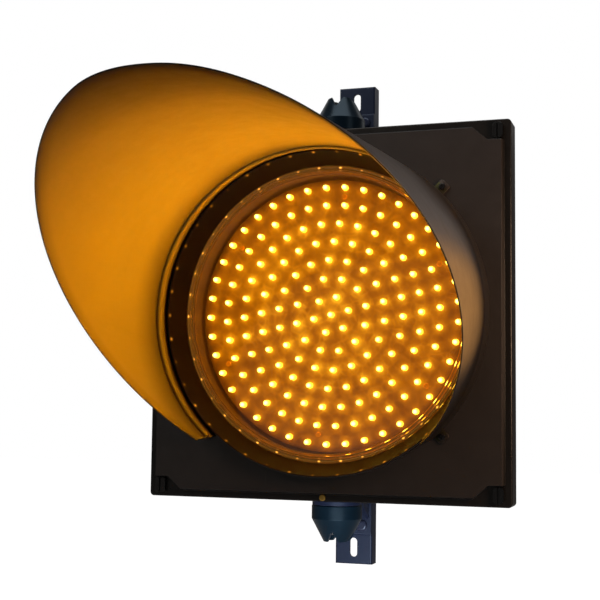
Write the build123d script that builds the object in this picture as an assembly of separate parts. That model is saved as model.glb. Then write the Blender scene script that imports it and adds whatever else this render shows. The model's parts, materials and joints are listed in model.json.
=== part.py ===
from build123d import *
import math
import os

# Single-aspect 300 mm LED traffic signal head on a pair of swivel brackets.
# Frame: millimetres, +Z up, light leaves along -Y, so the front is the low-Y side
# and +X is on the right seen from the front. The numbers below count Y from the
# vertical swivel axis. The saved parts have their origin midway between the two
# bracket slots, in the plane of the back of the bracket plates, 67 mm behind it.

# ------------------------------------------------------- shared dimensions
DOOR_HALF = 185.0          # door is 370 x 370
DOOR_RIM_Y = -50.0         # front face of the door's border band
DOOR_PANEL_Y = -56.5       # front face of the raised panel
DOOR_BACK_Y = -25.0        # back edge of the door's skirt
DOOR_WALL = 3.0
DOOR_RIM_BACK_Y = DOOR_RIM_Y + DOOR_WALL
PILLAR_BACK_Y = -38.0      # back of the clamp pillars and of the lens step

SHELL_HALF = 165.0         # half width at the open front
SHELL_BACK_HALF = 158.0
SHELL_FRONT_Y = -44.0
SHELL_BACK_Y = 55.0
SHELL_WALL = 3.0
SHELL_CORNER = 12.0

BOSS_R = 24.0
BOSS_TOP_Z = 185.0
BOSS_SEAT_Z = 155.0        # inner face of the thickened seat under a boss
WASHER_T = 2.0
STUD_R = 10.0

PLATE_Y = 82.0             # flange edges that rest on the wall or pole bracket
PLATE_T = 3.0
FLANGE_D = 18.0            # depth of the channel, flanges folded back
PLATE_FRONT_Y = PLATE_Y - FLANGE_D
PLATE_BACK_Y = PLATE_FRONT_Y + PLATE_T

HINGE_X = -176.0
HINGE_Y = -30.0
HINGE_Z = (-140.0, 140.0)
HINGE_LUG_R = 4.0
HINGE_DOOR_LUG = 6.0       # half length of the door's lug
HINGE_END = 15.0           # from the hinge's middle to the ends of the shell's lugs
HINGE_PIN_R = 2.0
HINGE_FIT = 0.05

LATCH_X = 172.5
LATCH_Z = 173.5
LATCH_STUD_R = 3.0
LATCH_FIT = 0.06

FIX_ANGLES = (45.0, 135.0, 225.0, 315.0)      # visor ears and their screws
FIX_PITCH_R = 169.5
CLAMP_ANGLES = (30.0, 150.0, 210.0, 330.0)    # module clamps and their pillars
CLAMP_PITCH_R = 166.5

BLOCK_X, BLOCK_Z = 80.0, -105.0               # middle of the terminal block
BLOCK_FIX = [(BLOCK_X + dx, BLOCK_Z) for dx in (-32.0, 32.0)]
SIDES = (1, -1)


# ----------------------------------------------------------------- helpers
def box(x0, x1, y0, y1, z0, z1):
    middle = Pos((x0 + x1) / 2, (y0 + y1) / 2, (z0 + z1) / 2)
    return middle * Box(abs(x1 - x0), abs(y1 - y0), abs(z1 - z0))


def cyl_x(radius, x0, x1, y=0.0, z=0.0):
    return Pos((x0 + x1) / 2, y, z) * Rot(0, 90, 0) * Cylinder(radius, abs(x1 - x0))


def cyl_y(radius, y0, y1, x=0.0, z=0.0):
    return Pos(x, (y0 + y1) / 2, z) * Rot(90, 0, 0) * Cylinder(radius, abs(y1 - y0))


def cyl_z(radius, z0, z1, x=0.0, y=0.0):
    return Pos(x, y, (z0 + z1) / 2) * Cylinder(radius, abs(z1 - z0))


def ring_y(outer_r, inner_r, y0, y1, x=0.0, z=0.0):
    return cyl_y(outer_r, y0, y1, x, z) - cyl_y(inner_r, y0 - 1, y1 + 1, x, z)


def ring_z(outer_r, inner_r, z0, z1):
    return cyl_z(outer_r, z0, z1) - cyl_z(inner_r, z0 - 1, z1 + 1)


def polygon(points):
    return make_face(Polyline(*points, close=True))


def spin_y(points):
    """Solid of revolution about the optical axis from (radius, y) points."""
    return revolve(polygon(points), axis=Axis.Y)


def front_plane(y):
    """Plane facing the front, with local x, y along X, Z."""
    return Plane(origin=(0, y, 0), x_dir=(1, 0, 0), z_dir=(0, -1, 0))


def rounded_square(half, corner, y):
    square = RectangleRounded(2 * half, 2 * half, corner)
    return Plane(origin=(0, y, 0), z_dir=(0, 1, 0)) * square


def slab_y(half, corner, y0, y1):
    """Rounded square prism along Y."""
    return extrude(rounded_square(half, corner, y0), amount=y1 - y0)


def taper_y(half0, half1, corner0, corner1, y0, y1):
    """Rounded square frustum along Y."""
    ends = [rounded_square(half0, corner0, y0), rounded_square(half1, corner1, y1)]
    return loft([end.faces()[0] for end in ends], ruled=True)


def hex_prism(flats, origin, z_dir, length):
    hexagon = RegularPolygon(flats / 2, 6, major_radius=False)
    return extrude(Plane(origin=origin, z_dir=z_dir) * hexagon, amount=length)


FRONT, BACK = 0, -1        # which end of a head is rounded


def head_y(radius, y0, y1, x, z, rounding, end):
    head = cyl_y(radius, y0, y1, x, z)
    return fillet(head.faces().sort_by(Axis.Y)[end].edges(), rounding)


def screw_y(shank, head, x, z, rounding, end):
    """Shank and round-edged head along Y, each given as (radius, y0, y1)."""
    return cyl_y(*shank, x, z) + head_y(*head, x, z, rounding, end)


def polar(radius, deg):
    return radius * math.cos(math.radians(deg)), radius * math.sin(math.radians(deg))


def group(parts):
    return Compound(children=[solid for part in parts for solid in part.solids()])


def save(shape, node):
    """Write one part, moved to the origin behind the bracket plates."""
    solids = [Pos(0, -PLATE_BACK_Y, 0) * solid for solid in shape.solids()]
    out = solids[0] if len(solids) == 1 else Compound(children=solids)
    out.label = node
    export_step(out, "parts/" + node + ".step")


def save_pair(shape, node):
    """Write a top part and its mirror image at the bottom."""
    save(shape, "top_" + node)
    save(mirror(shape, about=Plane.XY), "bottom_" + node)


# ----------------------------------------------------------- housing shell
def housing_shell():
    shell = taper_y(
        SHELL_HALF, SHELL_BACK_HALF, SHELL_CORNER, SHELL_CORNER, SHELL_FRONT_Y, SHELL_BACK_Y
    )
    shell = fillet(shell.faces().sort_by(Axis.Y)[-1].edges(), 7.0)
    cavity = taper_y(
        SHELL_HALF - SHELL_WALL + 0.2, SHELL_BACK_HALF - SHELL_WALL,
        SHELL_CORNER - 3, SHELL_CORNER - 3,
        SHELL_FRONT_Y - 3.0, SHELL_BACK_Y - SHELL_WALL,
    )
    cavity = fillet(cavity.faces().sort_by(Axis.Y)[-1].edges(), 4.0)
    for side in SIDES:
        shell += cyl_z(BOSS_R, side * 158.0, side * BOSS_TOP_Z)
    shell -= cavity
    for side in SIDES:
        # thickened seat inside, under each boss
        shell += cyl_z(BOSS_R, side * BOSS_SEAT_Z, side * 162.5)
        shell -= cyl_z(STUD_R, side * 140.0, side * 190.0)
    # stiffening ribs across the outside of the back wall
    for z in (-90.0, 90.0):
        shell += box(-110, 110, SHELL_BACK_Y - 1.0, SHELL_BACK_Y + 3.0, z - 3, z + 3)
    # terminal block seat on the inside of the back wall
    shell += box(BLOCK_X - 40, BLOCK_X + 40, 46.0, 53.0, BLOCK_Z - 13, BLOCK_Z + 13)
    # ribs that close on the latch cams, on the right-hand wall
    for side in SIDES:
        shell += box(163.5, 176.0, -43.0, -39.0, side * 157, side * 168)
    # hinge lugs on the left-hand wall, one either side of each door lug
    gap = HINGE_DOOR_LUG + 0.3
    for hinge_z in HINGE_Z:
        for z0, z1 in (
            (hinge_z - HINGE_END, hinge_z - gap),
            (hinge_z + gap, hinge_z + HINGE_END),
        ):
            lug = cyl_z(HINGE_LUG_R, z0, z1, HINGE_X, HINGE_Y)
            lug += box(HINGE_X, -163.5, HINGE_Y - HINGE_LUG_R, HINGE_Y + HINGE_LUG_R, z0, z1)
            shell += lug
        shell -= cyl_z(HINGE_PIN_R, hinge_z - 20, hinge_z + 20, HINGE_X, HINGE_Y)
    for x, z in BLOCK_FIX:
        shell -= cyl_y(1.5, 44.0, 52.0, x, z)
    return shell


def door_gasket():
    """Square ring pressed on the shell's front edge."""
    outside = slab_y(SHELL_HALF + 2.0, SHELL_CORNER + 2, SHELL_FRONT_Y - 2.8, SHELL_FRONT_Y)
    return outside - slab_y(SHELL_HALF - 1.6, SHELL_CORNER - 1.6, -50, -40)


# ---------------------------------------- swivel fixings, drawn for the top
STUD_BORE_R = 6.5
STUD_END_Z = 221.0
STUD_COLLAR_T = 4.0
NUT_R = 25.5
NUT_TOP_R = 13.2
NUT_SHOULDER_Z = 205.0
NUT_TOP_Z = 228.0
NUT_NOTCH = [(-6.6, 229.0), (6.6, 229.0), (1.2, 218.5), (-1.2, 218.5)]    # x, z

ARM_LOW_Z = BOSS_TOP_Z + WASHER_T + 0.05
ARM_T = 4.0
ARM_HIGH_Z = ARM_LOW_Z + ARM_T


def friction_washer():
    return ring_z(BOSS_R - 0.5, STUD_R, BOSS_TOP_Z, BOSS_TOP_Z + WASHER_T)


def stud():
    """Hollow stud with a collar that bears on the inside of the boss seat."""
    body = cyl_z(STUD_R, BOSS_SEAT_Z - 7.8, STUD_END_Z)
    body = chamfer(body.faces().sort_by(Axis.Z)[-1].edges(), 1.2)
    body += ring_z(17.0, STUD_R - 1.0, BOSS_SEAT_Z - STUD_COLLAR_T, BOSS_SEAT_Z)
    return body - cyl_z(STUD_BORE_R, 120, 240)


def stud_nut():
    z0 = BOSS_SEAT_Z - 7.4
    z1 = BOSS_SEAT_Z - STUD_COLLAR_T - 0.05
    return hex_prism(30.0, (0, 0, z0), (0, 0, 1), z1 - z0) - cyl_z(STUD_R, 120, 160)


def top_stud_plug():
    plug = cyl_z(STUD_BORE_R - 0.1, STUD_END_Z - 12.0, STUD_END_Z)
    plug += cyl_z(8.3, STUD_END_Z, STUD_END_Z + 2.0)
    return fillet(plug.faces().sort_by(Axis.Z)[-1].edges(), 0.8)


def lock_nut():
    """Castellated conical nut."""
    bore_r = STUD_R + 0.05
    profile = [    # radius, z
        (bore_r, ARM_HIGH_Z + 0.2), (NUT_R - 0.8, ARM_HIGH_Z + 0.2), (NUT_R, ARM_HIGH_Z + 1.0),
        (NUT_R, NUT_SHOULDER_Z), (NUT_TOP_R, NUT_TOP_Z), (bore_r, NUT_TOP_Z),
    ]
    nut = revolve(polygon([(r, 0, z) for r, z in profile]), axis=Axis.Z)
    for k in range(4):
        nut -= Rot(0, 0, 90 * k) * extrude(front_plane(0) * polygon(NUT_NOTCH), amount=40)
    return nut


# ------------------------------------------------ brackets, drawn for the top
PLATE_HALF_W = 20.0
PLATE_TOP_Z = 258.0
SLOT_Z = 240.5
SLOT_W = 8.0
SLOT_L = 20.0
ARM_RING_R = 25.0
ARM_HALF_W = 19.9
TAB_BACK_Y = PLATE_FRONT_Y - 0.02
TAB_FRONT_Y = TAB_BACK_Y - 3.5
TAB_TOP_Z = 227.0
GUSSET_X = 16.0
GUSSET_T = 3.0
RIVET_R = 2.5
RIVET_X = 10.0
RIVET_Z = 217.0


def rivet_holes():
    return [cyl_y(RIVET_R, 50, 75, side * RIVET_X, RIVET_Z) for side in SIDES]


def wall_plate():
    """Channel whose two sides and outer end are folded back to the wall."""
    plate = box(-PLATE_HALF_W, PLATE_HALF_W, PLATE_FRONT_Y, PLATE_Y, ARM_LOW_Z, PLATE_TOP_Z)
    upright = plate.edges().filter_by(Axis.Z).group_by(Axis.Y)[0]
    outer_end = plate.edges().filter_by(Axis.X).group_by(Axis.Y)[0][-1]
    plate = fillet(upright + [outer_end], 1.8)
    inside = PLATE_HALF_W - PLATE_T
    plate -= box(
        -inside, inside, PLATE_BACK_Y, PLATE_Y + 1, ARM_LOW_Z - 1, PLATE_TOP_Z - PLATE_T
    )
    slot_plane = Plane(origin=(0, PLATE_Y + 5, SLOT_Z), x_dir=(0, 0, 1), z_dir=(0, -1, 0))
    plate -= extrude(slot_plane * SlotOverall(SLOT_L, SLOT_W), amount=FLANGE_D + 10)
    for hole in rivet_holes():
        plate -= hole
    return plate


def arm():
    """Ring around the stud, flat arm and upturned tab, with two gussets between."""
    body = cyl_z(ARM_RING_R, ARM_LOW_Z, ARM_HIGH_Z)
    body += box(-18, 18, 0, 45, ARM_LOW_Z, ARM_HIGH_Z)
    body += box(-ARM_HALF_W, ARM_HALF_W, 34, TAB_BACK_Y, ARM_LOW_Z, ARM_HIGH_Z)
    tab = box(-ARM_HALF_W, ARM_HALF_W, TAB_FRONT_Y, TAB_BACK_Y, ARM_LOW_Z, TAB_TOP_Z)
    tab_edge = tab.edges().filter_by(Axis.X).group_by(Axis.Z)[-1].sort_by(Axis.Y)[0]
    body += fillet(tab_edge, 1.6)
    gusset = [    # y, z
        (34.0, ARM_HIGH_Z - 0.5), (TAB_FRONT_Y + 0.5, ARM_HIGH_Z - 0.5),
        (TAB_FRONT_Y + 0.5, 210.0),
    ]
    for x in (-GUSSET_X, GUSSET_X):
        plane = Plane(origin=(x - GUSSET_T / 2, 0, 0), x_dir=(0, 1, 0), z_dir=(1, 0, 0))
        body += extrude(plane * polygon(gusset), amount=GUSSET_T)
    body -= cyl_z(STUD_R + 0.3, 180, 200)
    for hole in rivet_holes():
        body -= hole
    return body


def rivets():
    shank = (RIVET_R, TAB_FRONT_Y - 0.5, PLATE_BACK_Y - 0.3)
    head = (6.0, TAB_FRONT_Y - 3.2, TAB_FRONT_Y)
    return group(
        screw_y(shank, head, side * RIVET_X, RIVET_Z, rounding=2.6, end=FRONT) for side in SIDES
    )


# -------------------------------------------------------------- door panel
PANEL_HALF_LOW = 178.5     # raised panel where it meets the border band
PANEL_HALF_TOP = 176.5     # raised panel at its face
NECK_FRONT_Y = -70.0       # front edge of the collar around the lens
NECK_OUT_R = 161.2
NECK_FRONT_R = 159.7       # mouth of the collar's cone
LIP_R = 148.6              # lip that holds the lens
# corner pocket in the raised panel, (x, z) for the upper right corner
POCKET = [(146, 192), (146, 179.2), (163.0, 164.3), (192, 164.3), (192, 192)]
DRAIN_R = 2.0
DRAIN_Z = -179.6


def raised_panel():
    panel = taper_y(PANEL_HALF_LOW, PANEL_HALF_TOP, 3.0, 2.0, DOOR_RIM_Y + 0.5, DOOR_PANEL_Y)
    for side_x in SIDES:
        for side_z in SIDES:
            outline = polygon([(side_x * x, side_z * z) for x, z in POCKET])
            panel -= extrude(front_plane(-60) * outline, amount=-10.0)
    return panel


def door_panel():
    door = slab_y(DOOR_HALF, 4.0, DOOR_RIM_Y, DOOR_BACK_Y)
    door = fillet(door.faces().sort_by(Axis.Y)[0].edges(), 1.2)
    door += raised_panel()
    door -= slab_y(DOOR_HALF - DOOR_WALL, 2.0, DOOR_RIM_BACK_Y, DOOR_BACK_Y + 5)
    door -= slab_y(160.0, 6.0, DOOR_PANEL_Y + DOOR_WALL, DOOR_RIM_BACK_Y + 1)
    door += cyl_y(NECK_OUT_R, NECK_FRONT_Y, DOOR_RIM_BACK_Y)
    door -= spin_y([
        (0, NECK_FRONT_Y - 1), (NECK_FRONT_R + 0.5, NECK_FRONT_Y - 1),
        (NECK_FRONT_R, NECK_FRONT_Y), (LIP_R, DOOR_RIM_Y),
        (LIP_R, DOOR_RIM_Y + 10), (0, DOOR_RIM_Y + 10),
    ])
    # step behind the lip that centres the lens flange
    door += ring_y(160.6, 156.6, DOOR_RIM_BACK_Y - 0.5, PILLAR_BACK_Y)
    for angle in FIX_ANGLES:
        x, z = polar(FIX_PITCH_R, angle)
        door -= cyl_y(1.6, -60, -50.0, x, z)
    # pillars for the module clamps
    for angle in CLAMP_ANGLES:
        x, z = polar(CLAMP_PITCH_R, angle)
        door += cyl_y(5.0, -53.6, PILLAR_BACK_Y, x, z)
        door -= cyl_y(1.6, -46.0, -30.0, x, z)
    # holes for the latch studs and the hinge-side clips
    for side in SIDES:
        door -= cyl_y(LATCH_STUD_R + LATCH_FIT, -60, -40, LATCH_X, side * LATCH_Z)
        door -= cyl_y(1.3, -55, -48.0, -LATCH_X, side * LATCH_Z)
    for hinge_z in HINGE_Z:
        z0, z1 = hinge_z - HINGE_DOOR_LUG, hinge_z + HINGE_DOOR_LUG
        door += cyl_z(HINGE_LUG_R, z0, z1, HINGE_X, HINGE_Y)
        door += box(
            HINGE_X - HINGE_LUG_R, HINGE_X + HINGE_LUG_R, DOOR_RIM_Y + 1, HINGE_Y, z0, z1
        )
        door -= cyl_z(HINGE_PIN_R + HINGE_FIT, hinge_z - 10, hinge_z + 10, HINGE_X, HINGE_Y)
    # relief so that the step behind the lip swings clear of the gasket and the shell
    swing = cyl_z(21.7, -190, 190, HINGE_X, HINGE_Y)
    door -= swing & box(-162.8, -140, -46.9, -30, -190, 190)
    # drain hole in the bottom border
    door -= cyl_y(DRAIN_R, -52, -44, 0, DRAIN_Z)
    return door


def drain_plug():
    shank = cyl_y(DRAIN_R, DOOR_RIM_Y, -45.2, 0, DRAIN_Z)
    return shank + head_y(3.2, DOOR_RIM_Y - 1.8, DOOR_RIM_Y, 0, DRAIN_Z - 1.6, 0.8, FRONT)


def hinge_pins():
    pins = []
    for hinge_z in HINGE_Z:
        top = hinge_z + HINGE_END
        pin = cyl_z(HINGE_PIN_R, hinge_z - 16.5, top, HINGE_X, HINGE_Y)
        pin += cyl_z(3.4, top, top + 2.0, HINGE_X, HINGE_Y)
        pins.append(pin)
    return group(pins)


def hinge_corner_clips():
    """Grooved clips that close the two hinge-side corner pockets."""
    clips = []
    x = -LATCH_X
    for side in SIDES:
        z = side * LATCH_Z
        clip = box(x - 5.5, x + 5.5, DOOR_RIM_Y - 3.5, DOOR_RIM_Y, z - 7.5, z + 7.5)
        clip = fillet(clip.edges().filter_by(Axis.Y), 2.5)
        clip -= box(x - 1.2, x + 1.2, DOOR_RIM_Y - 4.5, DOOR_RIM_Y - 2.0, z - 9, z + 9)
        clip += cyl_y(1.3, DOOR_RIM_Y - 1.0, DOOR_RIM_Y + 1.9, x, z)
        clips.append(clip)
    return group(clips)


# ----------------------------------------------------------------- latches
CAM_FRONT_Y = -38.5
CAM_BACK_Y = -35.5


def latch_bore(z):
    return cyl_y(LATCH_STUD_R, -45, -30, LATCH_X, z)


def latch_knob(z):
    x, y = LATCH_X, DOOR_RIM_Y
    knob = box(x - 5.0, x + 5.0, y - 5.0, y - 0.1, z - 7.8, z + 7.8)
    knob = fillet(knob.edges().filter_by(Axis.Y), 4.0)
    knob -= box(x - 1.0, x + 1.0, y - 6.0, y - 3.4, z - 9, z + 9)
    return knob + cyl_y(LATCH_STUD_R, y - 1.0, -31.5, x, z)


def latch_collar(z):
    return ring_y(5.0, LATCH_STUD_R, DOOR_RIM_BACK_Y + 0.1, -45.4, LATCH_X, z)


def latch_cam(z):
    cam = cyl_y(5.0, CAM_FRONT_Y, CAM_BACK_Y, LATCH_X, z)
    cam += box(LATCH_X - 10.0, LATCH_X, CAM_FRONT_Y, CAM_BACK_Y, z - 3.0, z + 3.0)
    return cam - latch_bore(z)


def latch_nut(z):
    y = CAM_BACK_Y + 0.05
    return hex_prism(8.0, (LATCH_X, y, z), (0, 1, 0), -32.0 - y) - latch_bore(z)


# ------------------------------------------------------------------- visor
VISOR_R = 165.0            # outside radius at the door
VISOR_FRONT_A = 181.5      # half width of the outline at the front
VISOR_FRONT_B = 161.5      # half height of the outline at the front
VISOR_LEN = 419.0          # from the panel to the front edge
VISOR_WALL = 2.5
VISOR_TILT = 3.8           # degrees, nose down
VISOR_BASE_Y = DOOR_PANEL_Y - 0.05
VISOR_FRONT_Y = VISOR_BASE_Y - VISOR_LEN
VISOR_DROP = VISOR_LEN * math.tan(math.radians(VISOR_TILT))
BEAD_SPAN = (24.0, 33.0)   # inside bead, distances from the base
EAR_T = 2.5
# cut edge: square across the top up to the first angle, then sweeping back to
# the end of the wrap, with two coefficients for the S-shape of the sweep
EDGE_START = 11.0          # degrees from the top
EDGE_END = 138.3
EDGE_TAIL = 60.0           # length left at the end of the wrap, from the rim
EDGE_BOW = 22.0
EDGE_S = 140.9
# angles from the top where the cut edge is worked out
EDGE_ANGLES = [11.5, 16, 24, 34, 45, 56, 67, 78, 90, 100, 110, 120, 130, EDGE_END]


def visor_section(t, inset):
    """Outline across the tube, t = 0 at the door and 1 at the front."""
    half_w = VISOR_R + (VISOR_FRONT_A - VISOR_R) * t - inset
    half_h = VISOR_R + (VISOR_FRONT_B - VISOR_R) * t - inset
    plane = Plane(
        origin=(0, VISOR_BASE_Y - VISOR_LEN * t, -VISOR_DROP * t),
        x_dir=(1, 0, 0), z_dir=(0, 1, 0),
    )
    outline = Circle(half_w) if abs(half_w - half_h) < 1e-6 else Ellipse(half_w, half_h)
    return (plane * outline).faces()[0]


def visor_tube(t0, t1, inset):
    return loft([visor_section(t0, inset), visor_section(t1, inset)], ruled=True)


def edge_point(angle):
    """(y, z) of the cut edge at an angle from the top."""
    s = (angle - EDGE_START) / (EDGE_END - EDGE_START)
    sweep_back = (DOOR_RIM_Y - VISOR_FRONT_Y - EDGE_TAIL) * s
    bulge = EDGE_BOW * s * (1 - s) + EDGE_S * s * (1 - s) * (1 - 2 * s)
    y = VISOR_FRONT_Y + sweep_back - bulge
    t = (VISOR_BASE_Y - y) / VISOR_LEN
    half_h = VISOR_R + (VISOR_FRONT_B - VISOR_R) * t
    return y, half_h * math.cos(math.radians(angle)) - VISOR_DROP * t


def visor_keep():
    """Block above the cut edge: the part of the tube that stays."""
    curve = [(0, *edge_point(angle)) for angle in EDGE_ANGLES]
    back_y, front_y, top_z = VISOR_BASE_Y + 5, VISOR_FRONT_Y - 8, 240
    border = Polyline(
        curve[-1], (0, back_y, curve[-1][2]), (0, back_y, top_z),
        (0, front_y, top_z), (0, front_y, curve[0][2]), curve[0],
    )
    return extrude(make_face([Spline(*curve), border]), amount=230, dir=(1, 0, 0), both=True)


def visor():
    hood = visor_tube(0.0, 1.0, 0.0) - visor_tube(-0.02, 1.02, VISOR_WALL)
    # stiffening bead rolled in just in front of the collar
    t0, t1 = (distance / VISOR_LEN for distance in BEAD_SPAN)
    bead = visor_tube(t0, t1, VISOR_WALL - 0.3)
    bead -= visor_tube(t0 - 0.01, t1 + 0.01, VISOR_WALL + 2.6)
    hood += bead
    hood = hood & visor_keep()
    # four ears that screw to the door
    for angle in FIX_ANGLES:
        x, z = polar(FIX_PITCH_R, angle)
        ear = box(163.0, 175.0, VISOR_BASE_Y - EAR_T, VISOR_BASE_Y, -6.0, 6.0)
        hood += Rot(0, -angle, 0) * ear
        hood -= cyl_y(1.75, -70, -50, x, z)
    return hood


def visor_screws():
    """Cross-slotted screws through the ears."""
    screws = []
    y = VISOR_BASE_Y
    for angle in FIX_ANGLES:
        x, z = polar(FIX_PITCH_R, angle)
        head = head_y(3.2, y - 4.9, y - EAR_T - 0.02, x, z, 1.2, FRONT)
        for half_x, half_z in ((2.2, 0.4), (0.4, 2.2)):
            head -= box(x - half_x, x + half_x, y - 6, y - 4.0, z - half_z, z + half_z)
        screws.append(cyl_y(1.6, y - 3.0, -51.0, x, z) + head)
    return group(screws)


# -------------------------------------------------------------- LED module
# From front to back: lens gasket, lens flange, module seal, housing flange,
# clamps. Neighbours are STACK_GAP apart.
STACK_GAP = 0.05
LENS_R = 148.0
LENS_T = 3.0
LENS_FLANGE_R = 156.0
FLANGE_FRONT_Y = -44.0
FLANGE_BACK_Y = -41.0
DOME_H = 6.0
DOME_SPHERE_R = (LENS_R ** 2 + DOME_H ** 2) / (2 * DOME_H)

SEAL_BACK_Y = -39.55
PAN_FLANGE_FRONT_Y = SEAL_BACK_Y + STACK_GAP
PAN_FLANGE_BACK_Y = -37.0
PAN_BACK_Y = -3.0
CLAMP_BACK_Y = -35.35

BOARD_FRONT_Y = -24.0
BOARD_BACK_Y = BOARD_FRONT_Y + 1.6
BOARD_R = 138.0
STANDOFFS = [polar(121.0, 24.0 + 60.0 * k) for k in range(6)]
DRIVER_FIX = [(-62.0, 38.0), (62.0, 38.0), (-62.0, -38.0), (62.0, -38.0)]    # x, z

LED_PITCH_R = 18.62        # spacing of the LED rings
LED_PHASE = 13.0           # degrees, first LED of each inner ring
LED_OUTER_R = 130.1
LED_OUTER_N = 41
LED_R = 2.5
LED_BASE_R = 2.9


def dome_profile(radii, rim_y):
    return [
        (r, rim_y - (math.sqrt(DOME_SPHERE_R ** 2 - r * r) - (DOME_SPHERE_R - DOME_H)))
        for r in radii
    ]


def lens():
    inner_r = LENS_R - 3
    outer = dome_profile((0, 25, 50, 75, 100, 125, 140, LENS_R), DOOR_RIM_Y)
    inner = dome_profile((inner_r, 125, 100, 75, 50, 25, 0), DOOR_RIM_Y + LENS_T)
    rim = Polyline(
        (LENS_R, DOOR_RIM_Y), (LENS_R, FLANGE_FRONT_Y), (LENS_FLANGE_R, FLANGE_FRONT_Y),
        (LENS_FLANGE_R, FLANGE_BACK_Y), (inner_r, FLANGE_BACK_Y), inner[0],
    )
    edges = [Spline(*outer), rim, Spline(*inner), Line(inner[-1], outer[0])]
    return revolve(make_face(edges), axis=Axis.Y)


def lens_gasket():
    return ring_y(
        LENS_FLANGE_R, LENS_R + 0.3, DOOR_RIM_BACK_Y + STACK_GAP, FLANGE_FRONT_Y - STACK_GAP
    )


def module_seal():
    return ring_y(LENS_FLANGE_R, 148.2, FLANGE_BACK_Y + STACK_GAP, SEAL_BACK_Y)


def module_housing():
    """Pan behind the lens, with standoffs for the board and the driver."""
    pan = spin_y([
        (144.5, PAN_FLANGE_FRONT_Y), (155.2, PAN_FLANGE_FRONT_Y), (155.2, PAN_FLANGE_BACK_Y),
        (147.0, PAN_FLANGE_BACK_Y), (142.0, PAN_BACK_Y), (0, PAN_BACK_Y), (0, -6.0),
        (139.6, -6.0),
    ])
    for x, z in STANDOFFS:
        pan += cyl_y(4.0, BOARD_BACK_Y, -5.0, x, z)
        pan -= cyl_y(1.3, BOARD_BACK_Y - 1, -10.0, x, z)
    for x, z in DRIVER_FIX:
        pan += cyl_y(4.0, -13.0, -5.0, x, z)
        pan -= cyl_y(1.5, -12.0, 0.0, x, z)
    # cable passage from the driver to the LED board
    pan -= cyl_y(4.0, -10, 0, 0, 20)
    return pan


def led_board():
    board = cyl_y(BOARD_R, BOARD_FRONT_Y, BOARD_BACK_Y)
    for x, z in STANDOFFS:
        board -= cyl_y(1.6, -30, -15, x, z)
    return board


def led_places():
    """(x, z) of the centre LED, six rings on the pitch and the outer ring."""
    places = [(0.0, 0.0)]
    for k in range(1, 7):
        for j in range(6 * k):
            places.append(polar(LED_PITCH_R * k, LED_PHASE + 360.0 / (6 * k) * j))
    for j in range(LED_OUTER_N):
        places.append(polar(LED_OUTER_R, 5.0 + 360.0 / LED_OUTER_N * j))
    return places


def leds():
    base_y = BOARD_FRONT_Y
    dome_y = base_y - 6.1    # where the round tip starts
    tip = (0, dome_y - LED_R)
    diagonal = LED_R * math.sin(math.pi / 4)
    profile = make_face([
        Polyline(
            (0, base_y), (LED_BASE_R, base_y), (LED_BASE_R, base_y - 1.0),
            (LED_R, base_y - 1.0), (LED_R, dome_y),
        ),
        ThreePointArc((LED_R, dome_y), (diagonal, dome_y - diagonal), tip),
        Line(tip, (0, base_y)),
    ])
    led = revolve(profile, axis=Axis.Y).solids()[0]
    return Compound(children=[Pos(x, 0, z) * led for x, z in led_places()])


def board_screws():
    shank = (1.25, BOARD_FRONT_Y - 0.5, -12.0)
    head = (2.7, BOARD_FRONT_Y - 1.9, BOARD_FRONT_Y)
    return group(screw_y(shank, head, x, z, rounding=0.8, end=FRONT) for x, z in STANDOFFS)


def module_clamps():
    """Cranked clamps that press the module's flange against the door."""
    clamps = []
    for angle in CLAMP_ANGLES:
        clamp = box(151.0, 171.5, PAN_FLANGE_BACK_Y + STACK_GAP, CLAMP_BACK_Y, -6.0, 6.0)
        clamp += box(160.9, 171.5, PILLAR_BACK_Y + STACK_GAP, CLAMP_BACK_Y, -6.0, 6.0)
        clamp -= cyl_y(1.75, -45, -30, CLAMP_PITCH_R, 0)
        clamps.append(Rot(0, -angle, 0) * clamp)
    return group(clamps)


def clamp_screws():
    shank = (1.55, -45.5, -35.0)
    head = (3.2, CLAMP_BACK_Y + STACK_GAP, -33.0)
    places = [polar(CLAMP_PITCH_R, angle) for angle in CLAMP_ANGLES]
    return group(screw_y(shank, head, x, z, rounding=1.0, end=BACK) for x, z in places)


# --------------------------------------- driver on the back of the module
DRIVER_FOOT_Y = 0.5        # back face of the driver's foot
LEAD_Y, LEAD_Z = 12.0, -10.0


def driver_case():
    case = box(-70, 70, PAN_BACK_Y + STACK_GAP, DRIVER_FOOT_Y, -46, 46)
    case = fillet(case.edges().filter_by(Axis.Y), 4.0)
    body = box(-54, 54, 0.3, 22.0, -34, 34)
    body = fillet(body.edges().filter_by(Axis.Y), 4.0)
    body = fillet(body.faces().sort_by(Axis.Y)[-1].edges(), 2.0)
    case += body
    for x, z in DRIVER_FIX:
        case -= cyl_y(1.75, -6, 4, x, z)
    return case - cyl_x(3.05, 50, 60, LEAD_Y, LEAD_Z)


def driver_screws():
    shank = (1.5, -9.0, 0.8)
    head = (3.2, DRIVER_FOOT_Y + 0.05, 2.9)
    return group(screw_y(shank, head, x, z, rounding=1.0, end=BACK) for x, z in DRIVER_FIX)


def lead_strain_relief():
    relief = cyl_x(6.0, 54.05, 58.0, LEAD_Y, LEAD_Z)
    relief += cyl_x(4.6, 58.0, 68.0, LEAD_Y, LEAD_Z)
    relief += cyl_x(3.0, 51.0, 54.5, LEAD_Y, LEAD_Z)
    return relief - cyl_x(2.5, 48, 70, LEAD_Y, LEAD_Z)


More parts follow.
